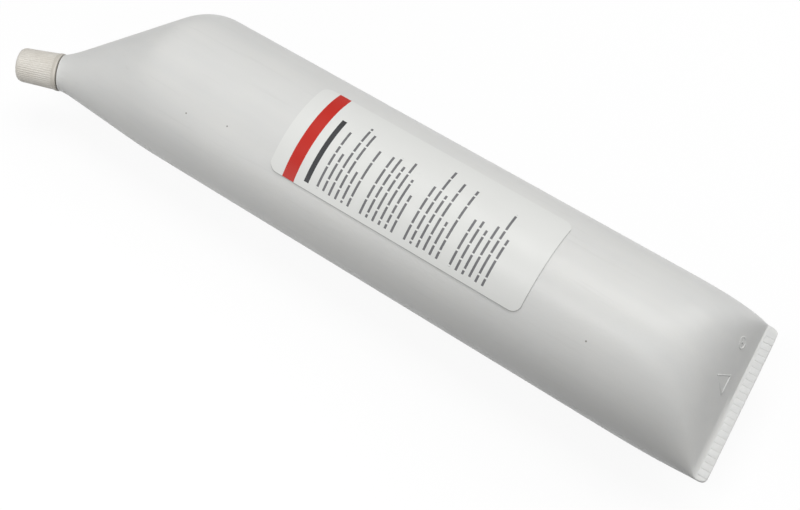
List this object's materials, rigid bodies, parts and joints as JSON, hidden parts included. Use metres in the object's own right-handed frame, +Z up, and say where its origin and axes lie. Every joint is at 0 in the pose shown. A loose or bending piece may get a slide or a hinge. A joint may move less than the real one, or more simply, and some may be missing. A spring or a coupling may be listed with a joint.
{
  "type": "grease tube",
  "caption": "Soft squeeze tube of grease with an end pinched flat, a slanted shoulder, a spout on one side, a label, and a ribbed screw cap that unscrews along the spout.",
  "frame": {"origin": "on the table, under the middle of the part's box", "axes": "+X along the tube from the cap to the pinched end, +Z up from the table, +Y across the tube to the side away from the spout"},
  "size_m": [0.3494, 0.0748, 0.069],
  "materials": {
    "tube": "soft satin",
    "grease": "smooth paste",
    "label": "satin film",
    "cap": "satin moulded",
    "liner": "soft foam"
  },
  "bodies": {
    "tube": {"tube_body": "tube", "grease_fill": "grease", "label": "label"},
    "liner": {"cap_liner": "liner"},
    "cap": {"screw_cap": "cap"}
  },
  "joints": [
    {"name": "cap_lift", "type": "slide", "parent": "tube", "child": "liner", "axis": [-0.9205, -0.3859, 0.0611], "range_m": [0, 0.01605]},
    {"name": "cap_turn", "type": "hinge", "parent": "liner", "child": "cap", "pos_m": [-0.15396, -0.02318, 0.03066], "axis": [-0.9205, -0.3859, 0.0611], "range_deg": [0, 1800]}
  ],
  "couplings": [
    {"joint": "cap_lift", "follows": "cap_turn", "m_per_rad": 0.0005093}
  ]
}
